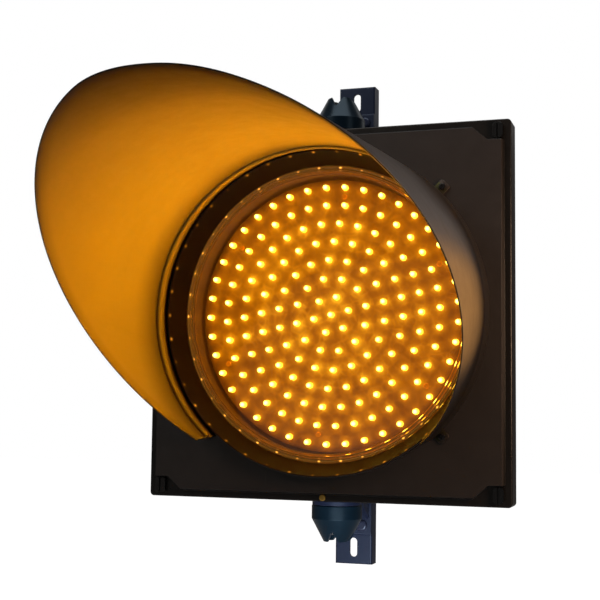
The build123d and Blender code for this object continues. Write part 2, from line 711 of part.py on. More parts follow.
def module_lead():
    """Flexible lead from the driver towards the terminal block."""
    start, bend = (52.0, LEAD_Y, LEAD_Z), (70.0, LEAD_Y, LEAD_Z)
    path = Line(start, bend) + Spline(
        bend, (86.0, 15.0, -34.0), (80.0, 36.0, -72.0), (80.0, 40.0, -95.9),
        tangents=[(1, 0, 0), (0, 0, -1.0)],
    )
    return sweep(Plane(origin=start, z_dir=(1, 0, 0)) * Circle(2.45), path=path)


# ---------------------------------------------------------- terminal block
TERMINAL_XS = [BLOCK_X + (i - 2.5) * 9.0 for i in range(6)]
TERMINAL_ZS = (BLOCK_Z - 4.5, BLOCK_Z + 4.5)


def terminal_block():
    block = box(BLOCK_X - 39, BLOCK_X + 39, 34.0, 45.95, BLOCK_Z - 9, BLOCK_Z + 9)
    for x in TERMINAL_XS:
        for z in TERMINAL_ZS:
            block -= cyl_y(2.3, 30, 37.5, x, z)
        block -= box(x - 2.4, x + 2.4, 39.5, 43.5, BLOCK_Z - 10, BLOCK_Z - 5)
    for x, z in BLOCK_FIX:
        block -= box(x - 4.5, x + 4.5, 30.0, 38.0, z - 11, z + 11)
        block -= cyl_y(1.75, 30, 50, x, z)
    return block


def terminal_screws():
    return group(
        cyl_y(2.2, 35.6, 37.45, x, z) - box(x - 2.5, x + 2.5, 35.0, 36.2, z - 0.35, z + 0.35)
        for x in TERMINAL_XS for z in TERMINAL_ZS
    )


def block_screws():
    shank, head = (1.45, 36.0, 51.0), (3.2, 35.6, 37.95)
    return group(screw_y(shank, head, x, z, rounding=0.9, end=FRONT) for x, z in BLOCK_FIX)


# ------------------------------------------------------------------ output
# each file is named after the function that builds its part
os.makedirs("parts", exist_ok=True)
for build in (
    housing_shell, door_gasket, top_stud_plug, door_panel, drain_plug, hinge_pins,
    hinge_corner_clips, visor, visor_screws, lens, lens_gasket, module_seal, module_housing,
    led_board, leds, board_screws, module_clamps, clamp_screws, driver_case, driver_screws,
    lead_strain_relief, module_lead, terminal_block, terminal_screws, block_screws,
):
    save(build(), build.__name__)
for build in (friction_washer, stud, stud_nut, lock_nut, wall_plate, arm, rivets):
    save_pair(build(), build.__name__)
for build in (latch_knob, latch_collar, latch_cam, latch_nut):
    save(build(LATCH_Z), "upper_" + build.__name__)
    save(build(-LATCH_Z), "lower_" + build.__name__)
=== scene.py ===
"""Lit signal head with an amber LED module, a hinged door and a visor, on wall brackets.

Metres, +Z up. The head faces -Y and the wall is on the +Y side. The light's optical
axis is the line x = 0, z = 0 along Y. The swivel axis is vertical, at y = Y0.
The CAD pieces get procedural materials; the visor, lens and module lead are rebuilt here.
"""
import json
import math

import bmesh
import bpy
import numpy as np
from mathutils import Matrix, Vector


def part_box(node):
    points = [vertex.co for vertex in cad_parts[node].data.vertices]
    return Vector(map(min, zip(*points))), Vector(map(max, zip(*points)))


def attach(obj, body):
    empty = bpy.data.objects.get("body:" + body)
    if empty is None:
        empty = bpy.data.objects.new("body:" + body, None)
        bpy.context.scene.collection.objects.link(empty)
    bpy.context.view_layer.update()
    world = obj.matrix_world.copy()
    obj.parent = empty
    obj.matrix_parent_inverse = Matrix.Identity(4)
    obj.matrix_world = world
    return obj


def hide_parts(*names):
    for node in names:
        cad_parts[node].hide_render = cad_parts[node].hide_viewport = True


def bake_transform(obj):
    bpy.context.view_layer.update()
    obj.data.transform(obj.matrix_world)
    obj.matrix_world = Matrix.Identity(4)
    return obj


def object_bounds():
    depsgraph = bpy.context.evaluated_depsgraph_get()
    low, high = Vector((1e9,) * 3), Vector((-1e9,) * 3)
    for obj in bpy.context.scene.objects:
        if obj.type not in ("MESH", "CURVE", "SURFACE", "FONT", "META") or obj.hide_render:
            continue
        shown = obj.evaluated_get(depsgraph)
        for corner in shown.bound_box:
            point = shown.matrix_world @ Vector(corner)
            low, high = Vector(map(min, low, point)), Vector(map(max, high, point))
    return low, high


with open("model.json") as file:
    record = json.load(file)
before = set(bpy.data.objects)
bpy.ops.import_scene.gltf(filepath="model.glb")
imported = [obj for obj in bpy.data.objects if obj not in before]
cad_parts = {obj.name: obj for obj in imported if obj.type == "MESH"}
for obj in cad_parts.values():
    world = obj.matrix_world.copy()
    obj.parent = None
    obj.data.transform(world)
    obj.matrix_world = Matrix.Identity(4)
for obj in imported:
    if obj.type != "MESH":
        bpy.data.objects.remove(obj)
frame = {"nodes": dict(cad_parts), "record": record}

MM = 0.001
NODES = frame["nodes"]
scene = bpy.context.scene
cad_lo, cad_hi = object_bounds()

# the swivel axis is 82 mm in front of the rear of the top wall plate
Y0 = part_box("top_wall_plate")[1].y - 82.0 * MM
VISOR_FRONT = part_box("visor")[0].y
VISOR_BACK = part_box("visor")[1].y

# LED layout: one in the middle, then rings; each ring has 6 more LEDs than the one inside it,
# except the outer ring, which has 41 and starts at its own angle
LED_RING_PITCH = 18.62 * MM
LED_RING_STEP = 6.0
LED_OUTER_RING = 7.0
LED_OUTER_COUNT = 41.0
LED_INNER_START = 13.0          # degrees from +X
LED_OUTER_START = 5.0

BLACK = (0.0, 0.0, 0.0)
WHITE = (1.0, 1.0, 1.0)


def scaled(color, factor):
    return tuple(c * factor for c in color)


# =====================================================================
# node helpers
# =====================================================================
class Graph:
    """Short hand for building the nodes of a material or a world."""

    def __init__(self, owner, output="ShaderNodeOutputMaterial"):
        self.owner = owner
        owner.use_nodes = True
        self.tree = owner.node_tree
        self.tree.nodes.clear()
        self.out = self.tree.nodes.new(output)
        self.coords = self.node("ShaderNodeTexCoord").outputs
        self.position = self.coords["Object"]

    def feed(self, socket, value):
        """Link a socket or set its value; a colour may leave out its alpha."""
        if isinstance(value, bpy.types.NodeSocket):
            self.tree.links.new(value, socket)
        elif socket.type == "RGBA" and len(value) == 3:
            socket.default_value = (*value, 1.0)
        else:
            socket.default_value = value

    def node(self, kind, props=None, **inputs):
        """New node; an underscore in an input's name stands for a space, None is skipped."""
        node = self.tree.nodes.new(kind)
        for key, value in (props or {}).items():
            setattr(node, key, value)
        for key, value in inputs.items():
            if value is not None:
                self.feed(node.inputs[key.replace("_", " ")], value)
        return node

    def indexed(self, kind, values, props=None):
        """New node whose inputs are given as {index: value}."""
        node = self.node(kind, props)
        for i, value in values.items():
            self.feed(node.inputs[i], value)
        return node

    def math(self, operation, *values, clamp=False):
        props = {"operation": operation, "use_clamp": clamp}
        return self.indexed("ShaderNodeMath", dict(enumerate(values)), props).outputs[0]

    def add(self, a, b, clamp=False):
        return self.math("ADD", a, b, clamp=clamp)

    def sub(self, a, b, clamp=False):
        return self.math("SUBTRACT", a, b, clamp=clamp)

    def mul(self, a, b, clamp=False):
        return self.math("MULTIPLY", a, b, clamp=clamp)

    def div(self, a, b):
        return self.math("DIVIDE", a, b)

    def mul_add(self, value, gain, offset, clamp=False):
        return self.math("MULTIPLY_ADD", value, gain, offset, clamp=clamp)

    def dot(self, a, b):
        node = self.indexed("ShaderNodeVectorMath", {0: a, 1: b}, {"operation": "DOT_PRODUCT"})
        return node.outputs["Value"]

    def separate(self, vector):
        """x, y and z of a vector."""
        node = self.indexed("ShaderNodeSeparateXYZ", {0: vector})
        return node.outputs["X"], node.outputs["Y"], node.outputs["Z"]

    def around_axis(self):
        """x, y, z and the distance from the optical axis."""
        x, y, z = self.separate(self.position)
        return x, y, z, self.math("SQRT", self.add(self.mul(x, x), self.mul(z, z)))

    def map_range(self, value, start, end, to_start=0.0, to_end=1.0):
        node = self.node("ShaderNodeMapRange", Value=value, From_Min=start, From_Max=end,
                         To_Min=to_start, To_Max=to_end)
        return node.outputs["Result"]

    def bell(self, value, width):
        """exp(-(value / width)^2)"""
        square = self.math("POWER", self.div(value, width), 2.0)
        return self.math("EXPONENT", self.mul(square, -1.0))

    def circle_line(self, r, radius, width):
        """1 on a circle round the axis, fading to both sides of it."""
        away = self.div(self.sub(r, radius), width)
        return self.math("EXPONENT", self.mul(self.mul(away, away), -1.0))

    def led_offset(self, x, z, start, count):
        """Signed offset from the nearest of count evenly spaced LEDs, in LED spacings."""
        angle = self.sub(self.math("ARCTAN2", z, x), start)
        turn = self.mul(self.div(angle, 2 * math.pi), count)
        return self.sub(turn, self.math("ROUND", turn))

    def outer_led_spots(self, x, z, width, gain):
        """Uneven spots beside the LEDs of the outer ring, for painted glints: (spot, unevenness).
        """
        offset = self.led_offset(x, z, math.radians(LED_OUTER_START), LED_OUTER_COUNT)
        spot = self.bell(offset, width)
        return spot, self.mul_add(self.noise(scale=45.0), gain, offset=-1.0, clamp=True)

    def noise(self, scale, detail=2.0, rough=0.5, coord=None, distortion=0.0):
        node = self.node("ShaderNodeTexNoise", Vector=coord or self.position, Scale=scale,
                         Detail=detail, Roughness=rough, Distortion=distortion)
        return node.outputs["Fac"]

    def blotches(self, big_scale, mid_scale):
        """Broad blotches and the mid-size noise in them."""
        big = self.noise(scale=big_scale, detail=4.0, rough=0.6)
        mid = self.noise(scale=mid_scale, detail=5.0, rough=0.65)
        return self.mul_add(big, gain=0.6, offset=self.mul(mid, 0.4)), mid

    def pebbles(self, grain, fine_grain, cell_gain=0.7):
        """Height of a moulded pebble grain."""
        cells = self.node("ShaderNodeTexVoronoi", Vector=self.position, Scale=grain)
        fine = self.noise(scale=fine_grain, rough=0.6)
        return self.mul_add(cells.outputs["Distance"], cell_gain, self.mul(fine, 0.5))

    def stretched(self, **mapping):
        return self.node("ShaderNodeMapping", Vector=self.position, **mapping).outputs[0]

    def ramp(self, factor, stops):
        """Colour ramp from (position, colour) stops."""
        node = self.node("ShaderNodeValToRGB", Fac=factor)
        elements = node.color_ramp.elements
        while len(elements) < len(stops):
            elements.new(0.5)
        for element, (position, color) in zip(elements, stops):
            element.position = position
            element.color = (*color, 1.0)
        return node.outputs["Color"]

    def mix(self, factor, a, b):
        node = self.indexed("ShaderNodeMix", {0: factor, 6: a, 7: b}, {"data_type": "RGBA"})
        return node.outputs[2]

    def bump(self, height, strength, distance, normal=None):
        return self.node("ShaderNodeBump", Strength=strength, Distance=distance,
                         Height=height, Normal=normal).outputs["Normal"]

    def bevel(self, radius):
        return self.node("ShaderNodeBevel", {"samples": 6}, Radius=radius).outputs["Normal"]

    def surface_normal(self):
        return self.node("ShaderNodeNewGeometry").outputs["Normal"]

    def edge_mask(self, bevel_normal, start=0.02, end=0.25):
        """1 where the bevelled normal leaves the true one, so on edges."""
        gap = self.sub(1.0, self.dot(bevel_normal, self.surface_normal()))
        return self.map_range(gap, start, end)

    def principled(self, **inputs):
        return self.node("ShaderNodeBsdfPrincipled", **inputs).outputs[0]

    def mix_shader(self, factor, a, b):
        return self.indexed("ShaderNodeMixShader", {0: factor, 1: a, 2: b}).outputs[0]

    def add_shader(self, a, b):
        return self.indexed("ShaderNodeAddShader", {0: a, 1: b}).outputs[0]

    def finish(self, shader):
        self.tree.links.new(shader, self.out.inputs["Surface"])
        return self.owner


def new_material(name):
    return Graph(bpy.data.materials.new(name))


# =====================================================================
# material families: base colours are linear RGB, bevel and depths are metres
# =====================================================================
def plastic(name, base, rough, grain, grain_depth=0.00005, bevel=0.0005, wear=0.25, mottle=0.25,
            specular=0.5, dust=0.0, tint=WHITE):
    """Moulded plastic: pebble grain, blotchy colour and gloss, paler rubbed edges."""
    g = new_material(name)
    blotch, mid = g.blotches(big_scale=9.0, mid_scale=70.0)
    color = g.ramp(blotch, [(0.32, scaled(base, 1 - mottle)), (0.68, scaled(base, 1 + mottle))])
    rounded = g.bevel(bevel)
    edge = g.edge_mask(rounded)
    scuff = g.mul_add(g.noise(scale=420.0, detail=6.0, rough=0.7),
                      gain=1.6, offset=-0.35, clamp=True)
    rub = g.mul(edge, g.mul(scuff, wear, clamp=True), clamp=True)
    color = g.mix(rub, color, tuple(min(1.0, c * 3.0 + 0.03) for c in base))
    if dust > 0:
        # dust settles in patches on faces that look up
        normal_z = g.separate(g.surface_normal())[2]
        patchy = g.mul_add(mid, gain=1.4, offset=-0.3, clamp=True)
        settled = g.mul(g.math("MAXIMUM", normal_z, 0.0), patchy)
        color = g.mix(g.mul(settled, dust, clamp=True), color, (0.12, 0.105, 0.09))
    grained = g.bump(g.pebbles(grain, grain * 1.7), strength=0.55, distance=grain_depth,
                     normal=rounded)
    wavy = g.bump(g.noise(scale=26.0), strength=0.18, distance=0.0012, normal=grained)
    roughness = g.mul_add(mid, gain=0.16, offset=rough - 0.08, clamp=True)
    roughness = g.sub(roughness, g.mul(rub, 0.12), clamp=True)
    return g.finish(g.principled(Base_Color=color, Roughness=roughness, Normal=wavy, IOR=1.5,
                                 Specular_IOR_Level=specular, Specular_Tint=tint))


def metal(name, base, rough, brush, tarnish=0.25, glow=0.0):
    """Plated or brushed metal; brush scales the noise that makes the fine scratches. A glow adds
    amber emission: painted light, as if the LEDs lit the metal.
    """
    g = new_material(name)
    lines = g.noise(scale=900.0, detail=4.0, rough=0.7, coord=g.stretched(Scale=brush))
    patch = g.noise(scale=120.0, detail=5.0, rough=0.65)
    color = g.ramp(patch, [(0.3, scaled(base, 1 - tarnish)), (0.7, base)])
    normal = g.bump(lines, strength=0.25, distance=0.00003, normal=g.bevel(0.0003))
    roughness = g.mul_add(patch, gain=0.25, offset=rough - 0.1, clamp=True)
    roughness = g.add(roughness, g.mul(lines, 0.08), clamp=True)
    emission = {}
    # painted light: an amber glow drawn as emission
    if glow:
        emission = {"Emission_Color": (1.0, 0.27, 0.0),
                    "Emission_Strength": g.mul_add(patch, gain=glow, offset=glow * 0.5)}
    return g.finish(g.principled(Base_Color=color, Roughness=roughness, Metallic=1.0,
                                 Normal=normal, **emission))


def paint(name, base, rough, chips=0.35, bevel=0.0006):
    """Powder coat over steel: orange peel, satin gloss, small chips on edges."""
    g = new_material(name)
    big = g.noise(scale=14.0, detail=4.0, rough=0.6)
    color = g.ramp(big, [(0.3, scaled(base, 0.8)), (0.7, scaled(base, 1.25))])
    rounded = g.bevel(bevel)
    edge = g.edge_mask(rounded, start=0.04, end=0.3)
    scuff = g.mul_add(g.noise(scale=300.0, detail=6.0, rough=0.75),
                      gain=2.2, offset=-0.9, clamp=True)
    rub = g.mul(g.mul(edge, scuff, clamp=True), chips, clamp=True)
    color = g.mix(rub, color, (0.22, 0.225, 0.25))
    peel = g.noise(scale=650.0, detail=3.0)
    fine = g.noise(scale=2600.0)
    height = g.mul_add(peel, gain=0.8, offset=g.mul(fine, 0.25))
    normal = g.bump(height, strength=0.35, distance=0.00008, normal=rounded)
    roughness = g.mul_add(g.noise(scale=60.0, detail=4.0, rough=0.6),
                          gain=0.2, offset=rough - 0.08, clamp=True)
    return g.finish(g.principled(
        Base_Color=color, Roughness=roughness, Normal=normal, IOR=1.5,
        Specular_IOR_Level=0.34, Specular_Tint=(0.62, 0.78, 1.0),
        Coat_Weight=0.06, Coat_Roughness=0.2))


def rubber(name, base, rough):
    """Matte rubber with a fine tooth and a little sheen."""
    g = new_material(name)
    mid = g.noise(scale=160.0, detail=5.0, rough=0.7)
    color = g.ramp(mid, [(0.3, base), (0.75, scaled(base, 2.6))])
    fine = g.noise(scale=2400.0, detail=3.0, rough=0.7)
    normal = g.bump(fine, strength=0.5, distance=0.00006, normal=g.bevel(0.0004))
    roughness = g.mul_add(mid, gain=0.2, offset=rough - 0.1, clamp=True)
    return g.finish(g.principled(Base_Color=color, Roughness=roughness, Normal=normal,
                                 Sheen_Weight=0.15))


# =====================================================================
# door
# =====================================================================
def collar_glints(g, x, y, z, r):
    """Painted glints drawn as emission: each LED of the outer ring leaves a small glint on the
    collar's front edge.
    """
    spot, uneven = g.outer_led_spots(x, z, width=0.055, gain=3.0)
    ring = g.circle_line(r, radius=0.1588, width=0.00060)
    tip = g.math("LESS_THAN", y, Y0 - 0.0660)
    return g.mul(g.mul(g.mul(spot, uneven), ring), tip)


def door_plastic():
    """Grained raised panel; border band, skirt and the collar's cone are smooth and blacker. The
    cone's warm brown tint and amber reflections are painted light from the module.
    """
    g = new_material("door_plastic")
    x, y, z, r = g.around_axis()
    behind_panel = g.map_range(y, start=Y0 - 0.0540, end=Y0 - 0.0508)
    cone = g.map_range(r, start=0.1604, end=0.1600)
    smooth = g.math("MAXIMUM", behind_panel, cone)
    blotch, mid = g.blotches(big_scale=7.0, mid_scale=70.0)
    panel = g.ramp(blotch, [(0.3, (0.0125, 0.0098, 0.0084)), (0.7, (0.0185, 0.0146, 0.0126))])
    band = g.ramp(blotch, [(0.3, (0.0042, 0.0036, 0.0030)), (0.7, (0.0060, 0.0052, 0.0044))])
    color = g.mix(smooth, panel, band)
    # painted amber light: the collar's cone is tinted warm brown, on top of the module_spill
    # lamp's light
    color = g.mix(cone, color, (0.0125, 0.0056, 0.0034))

    # rubbed edges
    rounded = g.bevel(0.0006)
    edge = g.edge_mask(rounded)
    scuff = g.mul_add(g.noise(scale=420.0, detail=6.0, rough=0.7),
                      gain=1.6, offset=-0.35, clamp=True)
    rub = g.mul(g.mul(edge, scuff, clamp=True), 0.3)
    color = g.mix(rub, color, (0.055, 0.05, 0.046))

    # faint scratches across the panel
    long_coord = g.stretched(Scale=(1.0, 1.0, 0.12), Rotation=(0.0, 0.5, 0.0))
    scratch = g.noise(scale=190.0, detail=4.0, rough=0.8, coord=long_coord)
    scratch = g.mul(g.math("GREATER_THAN", scratch, 0.69), g.sub(1.0, smooth))
    color = g.mix(g.mul(scratch, 0.12), color, (0.09, 0.075, 0.065))

    # the grain fades where the door is smooth
    height = g.pebbles(grain=1300.0, fine_grain=2300.0)
    height = g.mul(height, g.mul_add(smooth, gain=-0.85, offset=1.0))
    grained = g.bump(height, strength=0.55, distance=0.00005, normal=rounded)
    wavy = g.bump(g.noise(scale=20.0), strength=0.18, distance=0.0012, normal=grained)
    roughness = g.mul_add(mid, gain=0.14, offset=0.36)
    roughness = g.sub(roughness, g.mul(smooth, 0.13), clamp=True)
    roughness = g.add(roughness, g.mul(cone, 0.20), clamp=True)
    return g.finish(g.principled(
        Base_Color=color, Roughness=roughness, Normal=wavy, IOR=1.5,
        Specular_IOR_Level=g.mul_add(cone, gain=-0.22, offset=0.42),
        # painted amber reflections on the collar's cone
        Specular_Tint=g.mix(cone, WHITE, (1.0, 0.64, 0.40)),
        # painted glints on the collar's front edge, drawn as emission
        Emission_Color=(1.0, 0.33, 0.02),
        Emission_Strength=g.mul(collar_glints(g, x, y, z, r), 1.1)))


# =====================================================================
# visor sheet
# =====================================================================
def visor_plastic():
    """Satin black moulded sheet with long drawn marks. Painted shade darkens it towards the front
    edge, at the lower end of the wrap and in front of the bead, and painted amber light tints its
    reflections, most on its inside.
    """
    g = new_material("visor_plastic")
    blotch, mid = g.blotches(big_scale=6.0, mid_scale=55.0)
    color = g.ramp(blotch, [(0.3, (0.0105, 0.0088, 0.0082)), (0.7, (0.0170, 0.0140, 0.0128))])
    rounded = g.bevel(0.0004)
    edge = g.edge_mask(rounded)
    scuff = g.mul_add(g.noise(scale=380.0, detail=6.0, rough=0.7),
                      gain=1.2, offset=-0.3, clamp=True)
    rub = g.mul(edge, scuff, clamp=True)
    color = g.mix(g.mul(rub, 0.35), color, (0.07, 0.06, 0.055))

    # painted shade: the colour and its reflections darken towards the front edge and at the lower
    # end of the wrap, and brighten deeper in
    x, y, z = g.separate(g.position)
    deep_start = 0.95
    near = g.map_range(y, VISOR_FRONT, VISOR_FRONT + 0.125, to_start=0.14)
    low = g.map_range(z, start=-0.110, end=0.120, to_start=0.47)
    deep = g.map_range(y, VISOR_FRONT + 0.090, VISOR_FRONT + 0.300,
                       to_start=deep_start, to_end=1.26)
    shade = g.mul(g.mul(near, low), deep)

    # painted shadow on the wall in front of the bead, where the collar keeps the module's light
    # off
    painted_bead_shadow = g.map_range(y, VISOR_BACK - 0.080, VISOR_BACK - 0.036, to_start=1.0, to_end=0.42)
    ahead = g.math("LESS_THAN", y, VISOR_BACK - 0.034)
    painted_bead_shadow = g.math("MAXIMUM", painted_bead_shadow, g.sub(1.0, ahead))
    shade = g.mul(shade, painted_bead_shadow)
    color = g.mix(shade, BLACK, color)

    height = g.pebbles(grain=1500.0, fine_grain=2600.0, cell_gain=0.6)
    grained = g.bump(height, strength=0.4, distance=0.00004, normal=rounded)
    drawn = g.noise(scale=30.0, detail=3.0, rough=0.55, distortion=0.4,
                    coord=g.stretched(Scale=(1.0, 0.22, 1.0)))
    normal = g.bump(drawn, strength=0.22, distance=0.0016, normal=grained)

    # painted amber light: reflections are tinted warm, and on the inside, whose normal faces the
    # optical axis, from amber to yellow deeper in
    outwards = g.node("ShaderNodeCombineXYZ", X=x, Y=0.0, Z=z).outputs[0]
    mesh_normal = g.node("ShaderNodeTexCoord").outputs["Normal"]
    inner = g.math("LESS_THAN", g.dot(outwards, mesh_normal), 0.0)
    painted_hue_shift = g.mul(near, g.mul(g.sub(deep, deep_start), 3.7))
    warm = g.mix(painted_hue_shift, (1.0, 0.84, 0.26), (1.0, 1.0, 0.36))
    surface = g.principled(
        Base_Color=color, Normal=normal, IOR=1.5,
        Roughness=g.mul_add(mid, gain=0.14, offset=0.36, clamp=True),
        Specular_IOR_Level=g.mul(shade, 0.5),
        Specular_Tint=g.mix(inner, (1.0, 0.84, 0.72), warm))

    # a trace of the lit inside comes through the thin wall beside the lens
    beside_lens = g.map_range(y, VISOR_BACK - 0.110, VISOR_BACK - 0.010)
    seen = g.mix(beside_lens, (0.0010, 0.0012, 0.0012), (0.026, 0.026, 0.020))
    through = g.node("ShaderNodeBsdfTranslucent", Color=seen).outputs[0]
    return g.finish(g.add_shader(surface, through))


# =====================================================================
# LED board, LEDs and lens
# =====================================================================
def led_distances(g):
    """Distance to the nearest LED, radius, and the offsets from it outwards and round."""
    x, _, z, r = g.around_axis()
    ring = g.math("MINIMUM", g.math("ROUND", g.div(r, LED_RING_PITCH)), LED_OUTER_RING)
    outer = g.math("GREATER_THAN", ring, LED_OUTER_RING - 0.5)
    missing = LED_OUTER_COUNT - LED_RING_STEP * LED_OUTER_RING
    count = g.add(g.mul(ring, LED_RING_STEP), g.mul(outer, missing))
    count = g.math("MAXIMUM", count, 1.0)
    shift = math.radians(LED_OUTER_START - LED_INNER_START)
    start = g.add(math.radians(LED_INNER_START), g.mul(outer, shift))
    offset = g.led_offset(x, z, start, count)
    ring_radius = g.mul(ring, LED_RING_PITCH)
    along = g.mul(g.div(offset, count), g.mul(r, 2 * math.pi))
    centre = g.math("LESS_THAN", ring, 0.5)
    along = g.mul(along, g.sub(1.0, centre))
    across = g.sub(r, ring_radius)
    distance = g.math("SQRT", g.add(g.mul(along, along), g.mul(across, across)))
    return distance, r, across, along


def led_lead_lines(g, across, along):
    """Each LED's two leads run a few millimetres towards the middle; the mask adds painted light
    along them.
    """
    from_lead = g.math("ABSOLUTE", g.sub(g.math("ABSOLUTE", along), 0.0009))
    thin = g.math("LESS_THAN", from_lead, 0.00028)
    stretch = g.mul(g.math("LESS_THAN", across, -0.0025),
                    g.math("GREATER_THAN", across, -0.0082))
    lines = g.mul(thin, stretch)
    return g.mul(lines, g.mul_add(g.noise(scale=90.0), gain=3.0, offset=-1.1, clamp=True))


def led_board():
    """Circuit board with painted light drawn as emission: lit in pools round the LEDs, dimmer
    towards its rim.
    """
    g = new_material("led_board")
    distance, r, across, along = led_distances(g)
    pool = g.bell(distance, width=0.0042)
    wide = g.math("EXPONENT", g.mul(g.div(distance, 0.010), -1.0))
    fade = g.sub(1.0, g.mul(g.math("POWER", g.div(r, 0.145), 3.0), 0.55))
    patch = g.noise(scale=38.0, detail=4.0, rough=0.6)
    tracks = g.noise(scale=260.0, rough=0.4)
    cells = g.node("ShaderNodeTexVoronoi", {"feature": "DISTANCE_TO_EDGE"},
                   Vector=g.position, Scale=110.0)
    line = g.math("LESS_THAN", cells.outputs["Distance"], 0.035)
    lead_line = led_lead_lines(g, across, along)
    # painted amber light: the board's base colour and cell lines are tinted amber-brown over
    # their own pattern
    base = g.ramp(patch, [(0.3, (0.05, 0.022, 0.004)), (0.7, (0.085, 0.036, 0.006))])
    base = g.mix(g.mul(line, 0.5), base, (0.16, 0.075, 0.014))

    # painted light, drawn as emission; its brightness: shares of the two pools, an even part, the
    # cell lines and the leads
    amount = g.add(g.mul(pool, 0.5), g.mul(wide, 0.62))
    amount = g.add(amount, 0.20)
    amount = g.add(amount, g.mul(line, 0.10))
    amount = g.add(amount, g.mul(lead_line, 0.45))
    amount = g.mul(amount, g.mul_add(patch, gain=2.0, offset=0.05))
    amount = g.mul(amount, fade)
    amount = g.mul(amount, g.map_range(r, start=0.1270, end=0.1375, to_start=1.0, to_end=0.38))
    glow = g.ramp(amount, [(0.0, (1.0, 0.20, 0.0)), (0.5, (1.0, 0.29, 0.0)),
                           (1.0, (1.0, 0.44, 0.01))])
    height = g.add(g.mul(line, 0.6), g.mul(tracks, 0.3))
    brightness = 1.0
    return g.finish(g.principled(
        Base_Color=base, Roughness=0.38, Normal=g.bump(height, strength=0.5, distance=0.0002),
        Emission_Color=glow, Emission_Strength=g.mul(amount, brightness)))


def led_amber():
    """Lit epoxy dome: near white in the middle as seen, amber towards its edge."""
    g = new_material("led_amber")
    weight = g.node("ShaderNodeLayerWeight", Blend=0.5)
    y = g.separate(g.position)[1]
    tip = g.map_range(y, start=Y0 - 0.0250, end=Y0 - 0.0325)
    facing = g.sub(1.0, weight.outputs["Facing"])
    level = g.mul(g.mul_add(tip, gain=0.55, offset=0.45),
                  g.mul_add(facing, gain=0.55, offset=0.50))
    level = g.mul(level, g.mul_add(g.noise(scale=500.0), gain=0.4, offset=0.8), clamp=True)
    color = g.ramp(level, [(0.0, (1.0, 0.40, 0.005)), (0.30, (1.0, 0.66, 0.02)),
                           (0.70, (1.0, 0.84, 0.10)), (1.0, (1.0, 0.93, 0.22))])
    # looked at, an LED is nearly white; the light it throws on its surroundings is amber
    rays = g.node("ShaderNodeLightPath").outputs
    seen = g.add(rays["Is Camera Ray"], rays["Is Transmission Ray"], clamp=True)
    color = g.mix(seen, (1.0, 0.36, 0.0), color)
    return g.finish(g.principled(
        Base_Color=(0.8, 0.42, 0.05), Roughness=0.12, Emission_Color=color,
        Emission_Strength=g.mul_add(level, gain=3.6, offset=1.5)))


def lens_rim_glints(g, thick_rim):
    """Painted light led to the rim, drawn as emission: a glint on two ridges beside each LED of
    the outer ring, and a faint even glow over the thick rim.
    """
    x, y, z, r = g.around_axis()
    spot, uneven = g.outer_led_spots(x, z, width=0.050, gain=3.2)
    ridge = 0.0
    for radius, brightness in ((0.1462, 1.0), (0.1432, 0.12)):
        line = g.circle_line(r, radius, width=0.00065)
        ridge = g.add(ridge, g.mul(line, brightness))
    front = g.math("LESS_THAN", y, Y0 - 0.0490)
    glint = g.mul(g.mul(ridge, front), g.mul_add(g.mul(spot, uneven), gain=3.4, offset=0.06))
    return g.add(glint, g.mul(g.mul(thick_rim, front), 0.06))


def lens_clear():
    """Clear moulded polycarbonate. Light from lamps passes it without a shadow."""
    g = new_material("lens_clear")
    fine = g.noise(scale=240.0, detail=3.0)
    wavy = g.noise(scale=18.0)
    height = g.mul_add(wavy, gain=0.8, offset=g.mul(fine, 0.2))
    normal = g.bump(height, strength=0.06, distance=0.0006)
    r = g.around_axis()[3]
    thick_rim = g.map_range(r, start=0.1375, end=0.1400)
    body = g.mix(thick_rim, (1.0, 0.985, 0.95), (1.0, 0.84, 0.64))
    sharp, haze = (g.node("ShaderNodeBsdfGlass", Color=body, Roughness=roughness, IOR=1.55,
                          Normal=normal).outputs[0] for roughness in (0.01, 0.11))
    haze_share = 0.34
    glass = g.mix_shader(haze_share, sharp, haze)
    clear = g.node("ShaderNodeBsdfTransparent", Color=(0.97, 0.95, 0.9)).outputs[0]
    rays = g.node("ShaderNodeLightPath").outputs
    passing = g.math("MAXIMUM", rays["Is Shadow Ray"], rays["Is Diffuse Ray"])
    lens_body = g.mix_shader(passing, glass, clear)
    # painted glints and rim glow, drawn as emission
    glint = g.node("ShaderNodeEmission", Color=(1.0, 0.40, 0.04),
                   Strength=lens_rim_glints(g, thick_rim)).outputs[0]
    return g.finish(g.add_shader(lens_body, glint))


